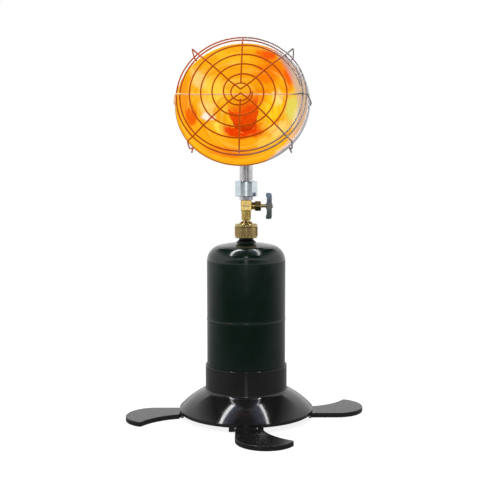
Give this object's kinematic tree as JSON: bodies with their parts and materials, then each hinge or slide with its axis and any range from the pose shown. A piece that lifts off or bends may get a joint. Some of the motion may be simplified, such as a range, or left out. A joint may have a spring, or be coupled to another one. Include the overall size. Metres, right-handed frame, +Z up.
{
  "type": "portable propane heater",
  "caption": "Tilted round radiant heater head with spiral wire guard, brass valve and bar knob on a green gas cylinder in a black base with folding swirl legs.",
  "frame": {"origin": "on the ground, on the axis of the gas cylinder and base", "axes": "+Z up, -Y towards the side that the head faces, +X towards the control knob"},
  "size_m": [0.3006, 0.3006, 0.4679],
  "materials": {
    "black_gloss_plastic": "glossy moulded black",
    "black_leg_plastic": "fine satin black",
    "zinc_steel": "zinc plated",
    "green_paint": "dark green gloss enamel",
    "dark_neck_steel": "dark lacquered steel",
    "brass": "machined brass",
    "seal_rubber": "soft black",
    "white_packing": "white sealing plastic",
    "slate_plastic": "slate grey",
    "chrome_plate": "bright plated",
    "polished_reflector": "polished, lit orange in use",
    "heat_tinted_steel": "heat tinted",
    "guard_wire": "plated wire, heat tinted"
  },
  "bodies": {
    "base": {"stand_base": "black_gloss_plastic", "hinge_pins": "zinc_steel"},
    "leg_front": {"leg_front": "black_leg_plastic"},
    "leg_right": {"leg_right": "black_leg_plastic"},
    "leg_back": {"leg_back": "black_leg_plastic"},
    "leg_left": {"leg_left": "black_leg_plastic"},
    "cylinder": {"cylinder_lower": "green_paint", "cylinder_upper": "green_paint", "weld_bead": "green_paint", "foot_ring": "green_paint", "valve_boss": "dark_neck_steel", "relief_valve": "zinc_steel", "valve_core": "brass", "core_spring": "zinc_steel"},
    "heater": {"inlet_nipple": "brass", "depressor_pin": "zinc_steel", "inlet_seal": "seal_rubber", "valve_body": "brass", "blanking_plug": "brass", "packing_nut": "brass", "packing_ring": "white_packing", "mixer_collar": "brass", "gas_jet": "brass", "air_shroud": "chrome_plate", "mixing_tube": "chrome_plate", "clamp_nut": "zinc_steel", "clamp_washer": "zinc_steel", "reflector": "polished_reflector", "burner_cup": "heat_tinted_steel", "burner_screen": "heat_tinted_steel", "burner_cap": "heat_tinted_steel", "guard_spiral": "guard_wire", "guard_centre_ring": "guard_wire", "guard_edge_rings": "guard_wire", "guard_upper_wire": "guard_wire", "guard_lower_wire": "guard_wire", "guard_side_wire": "guard_wire", "guard_short_wires": "guard_wire"},
    "coupling_nut": {"coupling_nut": "brass"},
    "knob": {"knob": "slate_plastic", "knob_screw": "zinc_steel", "needle_stem": "brass"}
  },
  "joints": [
    {"name": "leg_right_fold", "type": "hinge", "parent": "base", "child": "leg_right", "pos_m": [0.08, 0, 0.0036], "axis": [0, 1, 0], "range_deg": [0, 180]},
    {"name": "leg_back_fold", "type": "hinge", "parent": "base", "child": "leg_back", "pos_m": [0, 0.08, 0.0036], "axis": [-1, 0, 0], "range_deg": [0, 180]},
    {"name": "leg_left_fold", "type": "hinge", "parent": "base", "child": "leg_left", "pos_m": [-0.08, 0, 0.0036], "axis": [0, -1, 0], "range_deg": [0, 180]},
    {"name": "leg_front_fold", "type": "hinge", "parent": "base", "child": "leg_front", "pos_m": [0, -0.08, 0.0036], "axis": [1, 0, 0], "range_deg": [0, 180]},
    {"name": "cylinder_lift", "type": "slide", "parent": "base", "child": "cylinder", "axis": [0, 0, 1], "range_m": [0, 0.06]},
    {"name": "heater_rise", "type": "slide", "parent": "cylinder", "child": "heater", "axis": [0, 0, 1], "range_m": [0, 0.01016]},
    {"name": "nut_unscrew", "type": "hinge", "parent": "heater", "child": "coupling_nut", "pos_m": [0, 0, 0.235], "axis": [0, 0, 1], "range_deg": [0, 2882]},
    {"name": "knob_turn", "type": "hinge", "parent": "heater", "child": "knob", "pos_m": [0.028, 0, 0.2663], "axis": [1, 0, 0], "range_deg": [0, 720]}
  ],
  "couplings": [
    {"joint": "nut_unscrew", "follows": "heater_rise", "rad_per_m": 4947.4}
  ]
}
